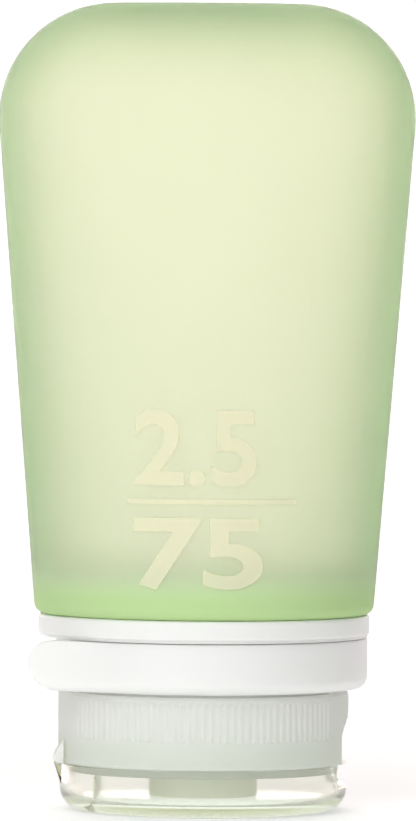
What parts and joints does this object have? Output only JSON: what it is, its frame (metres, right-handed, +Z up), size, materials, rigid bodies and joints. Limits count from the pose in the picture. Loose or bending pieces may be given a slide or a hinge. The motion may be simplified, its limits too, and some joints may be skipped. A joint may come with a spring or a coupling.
{
  "type": "travel silicone bottle",
  "caption": "Soft squeeze bottle of translucent silicone with an oval crown, a white collar with a hang strap, and a screw cap with a flip-top lid on which it stands.",
  "frame": {"origin": "middle of the lid's flat face, on the surface that the bottle stands on", "axes": "+Z up along the bottle's axis to its closed crown, -Y to the front that the picture shows, -X to the lid's hinge"},
  "size_m": [0.0562, 0.0456, 0.1088],
  "materials": {
    "green_silicone": "translucent satin",
    "white_plastic": "moulded satin",
    "natural_plastic": "translucent natural",
    "clear_plastic": "clear gloss",
    "valve_silicone": "translucent satin"
  },
  "bodies": {
    "bottle": {"silicone_tube": "green_silicone", "threaded_collar": "white_plastic", "collar_ring": "white_plastic"},
    "loop": {"hang_loop": "white_plastic"},
    "cap_carrier": {"valve_retainer": "natural_plastic"},
    "cap": {"screw_cap": "natural_plastic", "slit_valve": "valve_silicone"},
    "lid": {"flip_lid": "clear_plastic"}
  },
  "joints": [
    {"name": "loop_open", "type": "hinge", "parent": "bottle", "child": "loop", "pos_m": [0.02021, 0.00817, 0.02], "axis": [0, 0, 1], "range_deg": [0, 100]},
    {"name": "cap_lift", "type": "slide", "parent": "bottle", "child": "cap_carrier", "axis": [0, 0, -1], "range_m": [0, 0.0076]},
    {"name": "cap_turn", "type": "hinge", "parent": "cap_carrier", "child": "cap", "pos_m": [0, 0, 0.0161], "axis": [0, 0, -1], "range_deg": [0, 540]},
    {"name": "lid_flip", "type": "hinge", "parent": "cap", "child": "lid", "pos_m": [-0.02005, 0, 0.00715], "axis": [0, 1, 0], "range_deg": [0, 130]}
  ],
  "couplings": [
    {"joint": "cap_lift", "follows": "cap_turn", "m_per_rad": 0.00079577}
  ]
}
